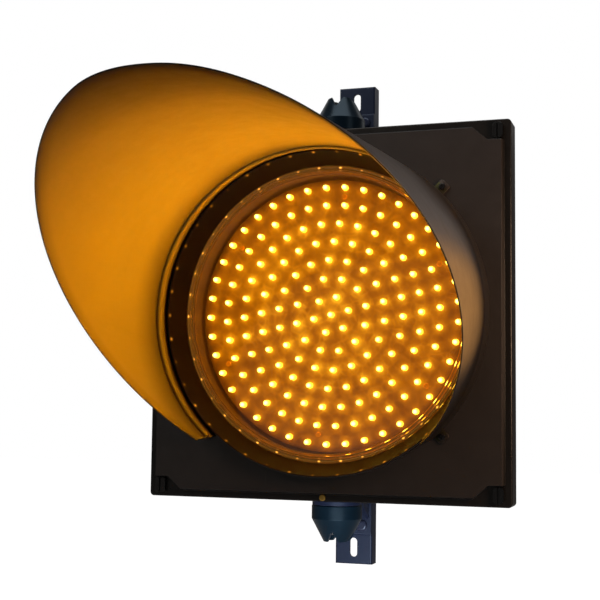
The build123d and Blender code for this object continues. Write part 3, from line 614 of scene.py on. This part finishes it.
# =====================================================================
# materials on the CAD pieces, keyed by the piece's material slot
# =====================================================================
MATERIALS = {
    "housing_plastic": plastic("housing_plastic", base=(0.0100, 0.0082, 0.0074), rough=0.46,
                               grain=1100.0, wear=0.3, dust=0.25),
    "clip_plastic": plastic("clip_plastic", base=(0.0075, 0.0068, 0.0062), rough=0.30,
                            grain=2600.0, wear=0.5, bevel=0.0004),
    "nut_plastic": plastic("nut_plastic", base=(0.0022, 0.0085, 0.0160), rough=0.30,
                           grain=2200.0, grain_depth=0.00002, wear=0.22, specular=0.30,
                           tint=(0.55, 0.80, 1.0)),
    "module_plastic": plastic("module_plastic", base=(0.20, 0.145, 0.105), rough=0.40,
                              grain=1600.0, wear=0.1, mottle=0.15),
    "driver_potting": plastic("driver_potting", base=(0.012, 0.012, 0.013), rough=0.55,
                              grain=800.0, mottle=0.35),
    "terminal_plastic": plastic("terminal_plastic", base=(0.62, 0.60, 0.53), rough=0.5,
                                grain=2400.0, wear=0.05, mottle=0.06),
    "bracket_paint": paint("bracket_paint", base=(0.0085, 0.0125, 0.033), rough=0.34),
    "rivet_steel": paint("rivet_paint", base=(0.022, 0.027, 0.052), rough=0.20, chips=0.6,
                         bevel=0.0003),
    "stud_steel": metal("stud_zinc", base=(0.42, 0.42, 0.43), rough=0.36, brush=(1, 1, 14)),
    "screw_steel": metal("screw_zinc", base=(0.46, 0.46, 0.47), rough=0.3, brush=(1, 8, 1)),
    "clamp_steel": metal("clamp_steel", base=(0.36, 0.36, 0.36), rough=0.36, brush=(1, 1, 6)),
    "terminal_brass": metal("brass", base=(0.76, 0.47, 0.11), rough=0.26, brush=(6, 1, 1),
                            tarnish=0.35),
    "seal_rubber": rubber("seal_rubber", base=(0.012, 0.012, 0.012), rough=0.75),
    "lead_jacket": rubber("lead_jacket", base=(0.010, 0.010, 0.012), rough=0.6),
    "door_plastic": door_plastic(),
    "visor_plastic": visor_plastic(),
    "board_green": led_board(),
    "led_amber": led_amber(),
    "lens_clear": lens_clear(),
}
# these two screw sets differ from the other pieces in their slot
SCREW_MATERIALS = {
    # the board screws' amber colour and glow are painted light from the LEDs
    "board_screws": metal("screw_amber", base=(0.80, 0.36, 0.05), rough=0.5, brush=(1, 8, 1),
                          glow=0.32),
    "visor_screws": metal("screw_black", base=(0.055, 0.050, 0.047), rough=0.34,
                          brush=(1, 8, 1)),
}


def dress_cad_pieces():
    slots = {part["node"]: part["material_slot"] for part in frame["record"]["subparts"]}
    for name, ob in NODES.items():
        ob.data.materials.clear()
        ob.data.materials.append(SCREW_MATERIALS.get(name) or MATERIALS[slots[name]])


dress_cad_pieces()


# =====================================================================
# mesh helpers
# =====================================================================
def new_object(name, verts, faces, material):
    mesh = bpy.data.meshes.new(name)
    mesh.from_pydata(verts, [], faces)
    mesh.validate()
    mesh.update()
    ob = bpy.data.objects.new(name, mesh)
    scene.collection.objects.link(ob)
    mesh.materials.append(material)
    return ob


def tidy(ob, dist):
    """Weld coincident points, dissolve degenerate bits and make the normals point out."""
    bm = bmesh.new()
    bm.from_mesh(ob.data)
    bmesh.ops.remove_doubles(bm, verts=bm.verts, dist=dist)
    bmesh.ops.dissolve_degenerate(bm, edges=bm.edges, dist=dist)
    bmesh.ops.recalc_face_normals(bm, faces=bm.faces)
    bm.to_mesh(ob.data)
    bm.free()
    ob.data.update()


def sharpen(ob, angle):
    """Smooth shading with sharp edges past an angle in degrees."""
    mesh = ob.data
    mesh.polygons.foreach_set("use_smooth", [True] * len(mesh.polygons))
    bm = bmesh.new()
    bm.from_mesh(mesh)
    limit = math.radians(angle)
    for edge in bm.edges:
        edge.smooth = not (len(edge.link_faces) == 2 and edge.calc_face_angle(0.0) > limit)
    bm.to_mesh(mesh)
    bm.free()


def lathe(name, profile, material, segments, smooth_angle):
    """Closed solid of revolution about the optical axis from (radius, y) points.

    A point on the axis becomes a pole.
    """
    verts, faces, rings = [], [], []
    for r, y in profile:
        if r < 1e-9:
            rings.append([len(verts)])
            verts.append((0.0, y, 0.0))
            continue
        rings.append(list(range(len(verts), len(verts) + segments)))
        for s in range(segments):
            angle = 2 * math.pi * s / segments
            verts.append((r * math.cos(angle), y, r * math.sin(angle)))
    for a, b in zip(rings, rings[1:] + rings[:1]):
        if len(a) == 1 and len(b) == 1:
            continue
        for s in range(segments):
            t = (s + 1) % segments
            if len(a) == 1:
                faces.append((a[0], b[s], b[t]))
            elif len(b) == 1:
                faces.append((a[s], b[0], a[t]))
            else:
                faces.append((a[s], b[s], b[t], a[t]))
    ob = new_object(name, verts, faces, material)
    tidy(ob, dist=1e-6)
    sharpen(ob, smooth_angle)
    return ob


# =====================================================================
# visor: one sheet with a rounded rim, a rolled bead and four ears.
# Angles run round the sheet in degrees from the top (+Z).
# =====================================================================
VISOR_LENGTH = VISOR_BACK - VISOR_FRONT
VISOR_WALL = 2.5 * MM
VISOR_LIP = 1.1 * MM                    # wall thickness at the front edge
VISOR_LIP_LENGTH = 14.0 * MM            # over which the wall thins to the lip
VISOR_BASE_RADIUS = 165.0 * MM          # round at the door
VISOR_FRONT_HALF_WIDTH = 181.5 * MM     # oval at the front
VISOR_FRONT_HALF_HEIGHT = 161.5 * MM
VISOR_DROP = VISOR_LENGTH * math.tan(math.radians(3.8))
VISOR_END = 138.3                       # half the wrap
BAND_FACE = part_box("door_panel")[0].y + 20.0 * MM       # the door's border band
VISOR_END_REACH = 60.0 * MM             # how far the wrap's ends reach before the band's face
EDGE_EASE = (3.0, 19.0)                 # where the front edge starts to sweep back
EDGE_BOW = 22.0 * MM
EDGE_S_CURVE = 140.9 * MM
BEAD_START, BEAD_END = 23.0, 34.0       # mm in front of the visor's back
BEAD_HEIGHT = 2.6 * MM
EAR_ANGLES = (45.0, 135.0, 225.0, 315.0)        # from +X

AROUND_STEPS, LENGTH_STEPS, LIP_STEPS = 190, 78, 6
END_ROUNDING = (90, 67, 45, 22)


def visor_edge_y(angle):
    """y of the front edge: furthest forward at the top, swept back to the wrap's ends."""
    ease_start, ease_end = EDGE_EASE
    line_start = (ease_start + ease_end) / 2
    run = VISOR_END - line_start
    if angle < ease_start:
        s = 0.0
    elif angle < ease_end:
        s = (angle - ease_start) ** 2 / (2 * (ease_end - ease_start) * run)
    else:
        s = min((angle - line_start) / run, 1.0)
    bulge = EDGE_BOW * s * (1 - s) + EDGE_S_CURVE * s * (1 - s) * (1 - 2 * s)
    reach = BAND_FACE - VISOR_FRONT
    return BAND_FACE - reach + (reach - VISOR_END_REACH) * s - bulge


def visor_point(angle, y, inset):
    """Point at an inset from the visor's outer face."""
    t = (VISOR_BACK - y) / VISOR_LENGTH
    half_width = VISOR_BASE_RADIUS + (VISOR_FRONT_HALF_WIDTH - VISOR_BASE_RADIUS) * t - inset
    half_height = VISOR_BASE_RADIUS + (VISOR_FRONT_HALF_HEIGHT - VISOR_BASE_RADIUS) * t - inset
    theta = math.radians(angle)
    return (half_width * math.sin(theta), y, half_height * math.cos(theta) - VISOR_DROP * t)


def bead_height(y):
    """Smooth hump on the inner face."""
    d = (VISOR_BACK - y) / MM
    if d <= BEAD_START or d >= BEAD_END:
        return 0.0
    return BEAD_HEIGHT * math.sin(math.pi * (d - BEAD_START) / (BEAD_END - BEAD_START)) ** 0.6


def visor_loop(angle, swell):
    """Section along the sheet: outer face, rounded lip, inner face. swell 0 closes it flat."""
    stop = visor_edge_y(min(abs(angle), VISOR_END)) + 0.5 * VISOR_WALL
    # sampling is dense round the bead
    distances = np.concatenate([np.linspace(0, 22, 6), np.linspace(BEAD_START, BEAD_END, 15),
                                [36.0]])
    near = [VISOR_BACK - d * MM for d in distances]
    far_steps = LENGTH_STEPS - len(near)
    far = [near[-1] + (stop - near[-1]) * (i / far_steps) for i in range(1, far_steps + 1)]
    stations = near + far
    middle = 0.5 * VISOR_WALL
    outer = middle - 0.5 * VISOR_WALL * swell
    loop = [visor_point(angle, y, outer) for y in stations]
    for i in range(1, LIP_STEPS):
        p = math.pi * i / LIP_STEPS
        loop.append(visor_point(angle, stop - 0.5 * VISOR_LIP * math.sin(p) * swell,
                                outer + 0.5 * VISOR_LIP * swell * (1 - math.cos(p))))
    for y in reversed(stations):
        back_from_lip = (y - stop) / VISOR_LIP_LENGTH
        thinning = (VISOR_WALL - VISOR_LIP) * max(0.0, 1.0 - back_from_lip) ** 2
        depth = 0.5 * VISOR_WALL - thinning + bead_height(y)
        loop.append(visor_point(angle, y, middle + depth * swell))
    return loop


def visor_sections():
    """(angle, swell) round the sheet; the wrap's ends are rounded by shrinking the section."""
    half = math.degrees(0.5 * VISOR_WALL / VISOR_BASE_RADIUS)
    rounding = [(VISOR_END + half * math.sin(math.radians(p)), math.cos(math.radians(p)))
                for p in END_ROUNDING]
    wrap = [(-VISOR_END + 2 * VISOR_END * i / AROUND_STEPS, 1.0)
            for i in range(AROUND_STEPS + 1)]
    return [(-angle, swell) for angle, swell in rounding] + wrap + rounding[::-1]


def add_ear(bm, angle, r_in, r_out, width, y_front, y_back, corner):
    """Closed tab in the door's plane, its outer corners rounded and its front edge softened."""
    theta = math.radians(angle)
    radial = Vector((math.cos(theta), 0, math.sin(theta)))
    tangent = Vector((-math.sin(theta), 0, math.cos(theta)))
    half = width / 2
    turns = [math.radians(p) for p in range(0, 91, 15)]
    # outline as (radial, tangential) points
    outline = [(r_in, -half)]
    outline += [(r_out - corner + corner * math.sin(p), -half + corner - corner * math.cos(p))
                for p in turns]
    outline += [(r_out - corner + corner * math.cos(p), half - corner + corner * math.sin(p))
                for p in turns]
    outline += [(r_in, half)]
    centre = (r_in + r_out) / 2
    # (y, inset) from the back to the softened front
    levels = [(y_back, 0.0), (y_front + 0.5 * MM, 0.0), (y_front + 0.15 * MM, 0.2 * MM),
              (y_front, 0.6 * MM)]
    rings = []
    for y, inset in levels:
        ring = []
        for r, t in outline:
            shrink = 1 - inset / max(math.hypot(r - centre, t), 1e-6)
            p = radial * (centre + (r - centre) * shrink) + tangent * (t * shrink)
            ring.append(bm.verts.new((p.x, y, p.z)))
        rings.append(ring)
    count = len(outline)
    for a, b in zip(rings, rings[1:]):
        for i in range(count):
            j = (i + 1) % count
            bm.faces.new((a[i], a[j], b[j], b[i]))
    bm.faces.new(rings[0])
    bm.faces.new(list(reversed(rings[-1])))
    ends = rings[0] + rings[-1]
    bmesh.ops.recalc_face_normals(
        bm, faces=[face for face in bm.faces if any(v in face.verts for v in ends)])


def build_visor():
    loops = [visor_loop(angle, swell) for angle, swell in visor_sections()]
    n = len(loops[0])
    faces = []
    for i in range(len(loops) - 1):
        for j in range(n):
            k = (j + 1) % n
            faces.append((i * n + j, i * n + k, (i + 1) * n + k, (i + 1) * n + j))
    verts = [point for loop in loops for point in loop]
    ob = new_object("visor_shell", verts, faces, MATERIALS["visor_plastic"])
    tidy(ob, dist=2e-6)

    # the ears sit on the door under the screws
    bm = bmesh.new()
    bm.from_mesh(ob.data)
    for angle in EAR_ANGLES:
        add_ear(bm, angle, r_in=163.2 * MM, r_out=175.0 * MM, width=12.0 * MM,
                y_front=VISOR_BACK - 2.5 * MM, y_back=VISOR_BACK, corner=3.2 * MM)
    bm.to_mesh(ob.data)
    bm.free()
    sharpen(ob, angle=40.0)
    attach(ob, "door")
    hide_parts("visor")
    return ob


visor = build_visor()


# =====================================================================
# lens: clear dome with a stepped rim
# =====================================================================
LENS_RADIUS = 148.0 * MM
LENS_SAG = 6.0 * MM
LENS_WALL = 3.0 * MM
FLANGE_FRONT = Y0 - 44.0 * MM
FLANGE_CHAMFER = 0.3 * MM
RIDGE_RADII = (140.2, 143.2, 146.2)     # mm
# section of a ridge: offset from its radius and height, mm
RIDGE_SECTION = [(-1.0, 0.0), (-0.7, 0.20), (-0.35, 0.44), (0.0, 0.52),
                 (0.35, 0.44), (0.7, 0.20), (1.0, 0.0)]


def lens_profile():
    """(radius, y) from the apex over the front face, round the flange and back inside."""
    low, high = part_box("lens")
    flange, back = high.x, high.y
    rim = low.y + LENS_SAG
    sphere = (LENS_RADIUS * LENS_RADIUS + LENS_SAG * LENS_SAG) / (2 * LENS_SAG)

    def dome(x, shift=0.0):
        return rim + shift - (math.sqrt(sphere * sphere - x * x) - (sphere - LENS_SAG))

    profile = [(x * MM, dome(x * MM)) for x in np.linspace(0, 138.6, 40)]
    for centre in RIDGE_RADII:
        for offset, height in RIDGE_SECTION:
            x = (centre + offset) * MM
            profile.append((x, dome(x) - height * MM))
    profile += [
        (147.5 * MM, dome(147.5 * MM) + 0.05 * MM),
        (LENS_RADIUS, rim + 0.5 * MM),
        (LENS_RADIUS, FLANGE_FRONT),
        (flange - FLANGE_CHAMFER, FLANGE_FRONT),
        (flange, FLANGE_FRONT + FLANGE_CHAMFER),
        (flange, back + FLANGE_CHAMFER),
        (flange - FLANGE_CHAMFER, back),
        (145.0 * MM, back),
        (145.0 * MM, dome(144.5 * MM, LENS_WALL) + 1.2 * MM),
        (144.4 * MM, dome(144.0 * MM, LENS_WALL) + 0.2 * MM),
    ]
    return profile + [(x * MM, dome(x * MM, LENS_WALL)) for x in np.linspace(142.5, 0, 40)]


def build_lens():
    ob = lathe("lens_cover", lens_profile(), MATERIALS["lens_clear"], segments=224,
               smooth_angle=30.0)
    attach(ob, "door")
    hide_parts("lens")


build_lens()


# =====================================================================
# module lead: flexible cable, laid here as one fixed bent tube across the door hinge
# =====================================================================
LEAD_RADIUS = 2.45 * MM
# path as x, y behind Y0, z in mm
LEAD_PATH = [(52, 12, -10), (61, 12, -10), (70, 12, -10), (82, 13, -18),
             (86, 17, -36), (82, 28, -60), (80, 37, -80), (80, 40, -95.5)]


def smooth_path(points, samples):
    """Catmull-Rom curve through the points, with a number of samples per span."""
    p = np.array(points, float)
    curve = []
    for i in range(len(p) - 1):
        p0, p1, p2, p3 = p[max(i - 1, 0)], p[i], p[i + 1], p[min(i + 2, len(p) - 1)]
        for t in np.linspace(0, 1, samples, endpoint=False):
            curve.append(0.5 * ((2 * p1) + (p2 - p0) * t
                                + (2 * p0 - 5 * p1 + 4 * p2 - p3) * t * t
                                + (3 * p1 - p0 - 3 * p2 + p3) * t ** 3))
    curve.append(p[-1])
    return np.array(curve)


def tube(name, points, radius, material, sides):
    """Closed round tube along a smooth path that doesn't start along Z."""
    path = smooth_path(points, samples=14)
    tangents = np.gradient(path, axis=0)
    tangents /= np.linalg.norm(tangents, axis=1)[:, None]
    u = np.cross(tangents[0], np.array([0.0, 0.0, 1.0]))
    u /= np.linalg.norm(u)
    verts, faces = [], []
    for centre, tangent in zip(path, tangents):
        # carry the section's direction along the path without twist
        u = u - tangent * (u @ tangent)
        u /= np.linalg.norm(u)
        v = np.cross(tangent, u)
        for s in range(sides):
            a = 2 * math.pi * s / sides
            verts.append(tuple(centre + radius * (u * math.cos(a) + v * math.sin(a))))
    last = len(path) - 1
    for i in range(last):
        for s in range(sides):
            t = (s + 1) % sides
            faces.append((i * sides + s, i * sides + t, (i + 1) * sides + t, (i + 1) * sides + s))
    faces.append(tuple(range(sides)))
    faces.append(tuple(last * sides + s for s in reversed(range(sides))))
    ob = new_object(name, verts, faces, material)
    tidy(ob, dist=1e-7)
    sharpen(ob, angle=50.0)
    return ob


def build_lead():
    points = [(x * MM, Y0 + y * MM, z * MM) for x, y, z in LEAD_PATH]
    ob = tube("module_lead_cable", points, LEAD_RADIUS, MATERIALS["lead_jacket"], sides=24)
    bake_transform(ob)
    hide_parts("module_lead")


build_lead()


# =====================================================================
# floor and world
# =====================================================================
FLOOR_DROP = 0.32               # below the lowest CAD point
FLOOR_HALF_SIZE = 9.0


def floor_paper():
    """Pale matte ground, paper white by added light except to camera rays; clear from below."""
    g = new_material("floor_paper")
    speck = g.noise(scale=8.0, detail=4.0, rough=0.6)
    color = g.ramp(speck, [(0.3, scaled(WHITE, 0.80)), (0.7, scaled(WHITE, 0.84))])
    matte = g.node("ShaderNodeBsdfDiffuse", Color=color).outputs[0]
    white = g.node("ShaderNodeEmission", Color=WHITE, Strength=1.0).outputs[0]
    camera_ray = g.node("ShaderNodeLightPath").outputs["Is Camera Ray"]
    above = g.mix_shader(camera_ray, matte, g.add_shader(white, matte))
    backfacing = g.node("ShaderNodeNewGeometry").outputs["Backfacing"]
    clear = g.node("ShaderNodeBsdfTransparent").outputs[0]
    return g.finish(g.mix_shader(backfacing, above, clear))


def build_floor():
    z = cad_lo.z - FLOOR_DROP
    s = FLOOR_HALF_SIZE
    corners = [(-s, -s, z), (s, -s, z), (s, s, z), (-s, s, z)]
    new_object("floor", corners, [(0, 1, 2, 3)], floor_paper())


def build_world():
    """White to the camera; a dim, warm gradient, brighter overhead, to everything else."""
    scene.world = bpy.data.worlds.new("studio")
    g = Graph(scene.world, output="ShaderNodeOutputWorld")
    z = g.separate(g.coords["Generated"])[2]
    height = g.mul_add(z, gain=0.5, offset=0.5)
    sky = g.ramp(height, [(0.30, (0.25, 0.215, 0.19)), (0.85, (1.0, 0.90, 0.83))])
    dim_sky = g.node("ShaderNodeBackground", Color=sky, Strength=0.085).outputs[0]
    backdrop = g.node("ShaderNodeBackground", Color=WHITE, Strength=1.0).outputs[0]
    camera_ray = g.node("ShaderNodeLightPath").outputs["Is Camera Ray"]
    g.finish(g.mix_shader(camera_ray, dim_sky, backdrop))


build_floor()
build_world()


# =====================================================================
# lights
# =====================================================================
HEAD = (0, Y0, 0)
# name, azimuth from the front towards +X, elevation, distance, width, height, power,
# colour, target
SOFTBOXES = [
    ("key_left", -36, 34, 2.4, 1.0, 0.9, 11.5, (1.0, 0.94, 0.90), HEAD),
    ("fill_right", 62, 20, 2.6, 0.8, 1.6, 2.6, (1.0, 0.93, 0.88), HEAD),
    ("top_back", 18, 70, 1.25, 1.2, 0.6, 6.0, WHITE, HEAD),
    ("rim_back", 150, 30, 2.6, 1.2, 1.2, 3.0, WHITE, HEAD),
    ("left_back", -118, 24, 2.4, 1.2, 1.2, 5.0, WHITE, HEAD),
    ("warm_side", 54, 3, 0.42, 0.16, 0.22, 2.3, (1.0, 0.62, 0.38), (0.16, Y0 - 0.07, 0.0)),
    ("rim_warm", 163, 3, 1.35, 0.6, 0.70, 4.0, (1.0, 0.46, 0.12), HEAD),
    ("floor_bounce", 18, -38, 0.62, 0.5, 0.25, 4.6, (0.96, 0.97, 1.0), (0, Y0, -0.05)),
]


def direction(azimuth, elevation):
    """Unit vector from angles in radians; azimuth 0 is -Y."""
    return Vector((math.sin(azimuth) * math.cos(elevation),
                   -math.cos(azimuth) * math.cos(elevation), math.sin(elevation)))


def area_light(name, shape, size, power, color):
    data = bpy.data.lights.new(name, "AREA")
    data.shape = shape
    data.size = size
    data.energy = power
    data.color = color
    ob = bpy.data.objects.new(name, data)
    scene.collection.objects.link(ob)
    ob.rotation_mode = "QUATERNION"
    ob.visible_camera = False
    return ob


def softbox(name, azimuth, elevation, distance, width, height, power, color, target):
    ob = area_light(name, "RECTANGLE", width, power, color)
    ob.data.size_y = height
    aim = Vector(target)
    place = direction(math.radians(azimuth), math.radians(elevation)) * distance + aim
    ob.location = place
    ob.rotation_quaternion = (aim - place).to_track_quat("-Z", "Y")
    return ob


def module_lights():
    """The module's own light, and a far weaker copy for the collar beside the lens."""
    glow = area_light("module_glow", "DISK", size=0.270, power=38.0, color=(1.0, 0.36, 0.0))
    glow.data.spread = math.radians(128.0)
    glow.location = (0.0, Y0 - 0.0460, 0.0)
    glow.rotation_quaternion = Vector((0, -1, 0)).to_track_quat("-Z", "Z")
    glow.visible_glossy = False
    glow.visible_transmission = False
    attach(glow, "door")
    spill = glow.copy()
    spill.data = glow.data.copy()
    spill.name = "module_spill"
    spill.data.energy = 0.42
    scene.collection.objects.link(spill)
    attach(spill, "door")
    return glow, spill


def shine_only_on(light, group_name, objects):
    group = bpy.data.collections.new(group_name)
    for ob in objects:
        group.objects.link(ob)
    light.light_linking.receiver_collection = group


softboxes = {row[0]: softbox(*row) for row in SOFTBOXES}
module_glow, module_spill = module_lights()

product = [ob for ob in scene.objects if ob.type == "MESH" and ob.name != "floor"]
DIM_PIECES = ("led_board", "leds", "door_panel", "lens")
shine_only_on(module_glow, "lit_by_module",
              [ob for ob in product if not ob.name.startswith(DIM_PIECES)])
shine_only_on(module_spill, "dimly_lit_by_module",
              [ob for ob in product if ob.name.startswith(DIM_PIECES)])
shine_only_on(softboxes["rim_warm"], "grazed_by_rim",
              [ob for ob in product if ob.name.startswith("visor")])
# light off the floor reaches only the fixings below the head
shine_only_on(softboxes["floor_bounce"], "lit_from_floor",
              [ob for ob in product if ob.name.startswith("bottom_")])
shine_only_on(softboxes["warm_side"], "warmed_door", [NODES["door_panel"], visor])


# =====================================================================
# camera: in front of the head, to its +X side and slightly below
# =====================================================================
CAMERA_AZIMUTH = math.radians(18.19)
CAMERA_ELEVATION = math.radians(-5.26)
CAMERA_ROLL = math.radians(0.72)
CAMERA_TARGET = Vector((-0.0258, Y0 - 0.050, 0.0134))
CAMERA_DISTANCE = 1.2135


def build_camera():
    back = direction(CAMERA_AZIMUTH, CAMERA_ELEVATION)
    right = (-back).cross(Vector((0, 0, 1))).normalized()
    up = right.cross(-back).normalized()
    rolled_right = right * math.cos(CAMERA_ROLL) + up * math.sin(CAMERA_ROLL)
    rolled_up = up * math.cos(CAMERA_ROLL) - right * math.sin(CAMERA_ROLL)
    pose = Matrix((rolled_right, rolled_up, back)).transposed().to_4x4()
    pose.translation = CAMERA_TARGET + back * CAMERA_DISTANCE
    data = bpy.data.cameras.new("camera")
    data.sensor_width = 36.0
    data.lens = 72.834
    data.clip_start = 0.05
    data.clip_end = 60.0
    camera = bpy.data.objects.new("camera", data)
    scene.collection.objects.link(camera)
    camera.matrix_world = pose
    scene.camera = camera


build_camera()
scene.view_settings.view_transform = "Standard"
scene.view_settings.look = "None"
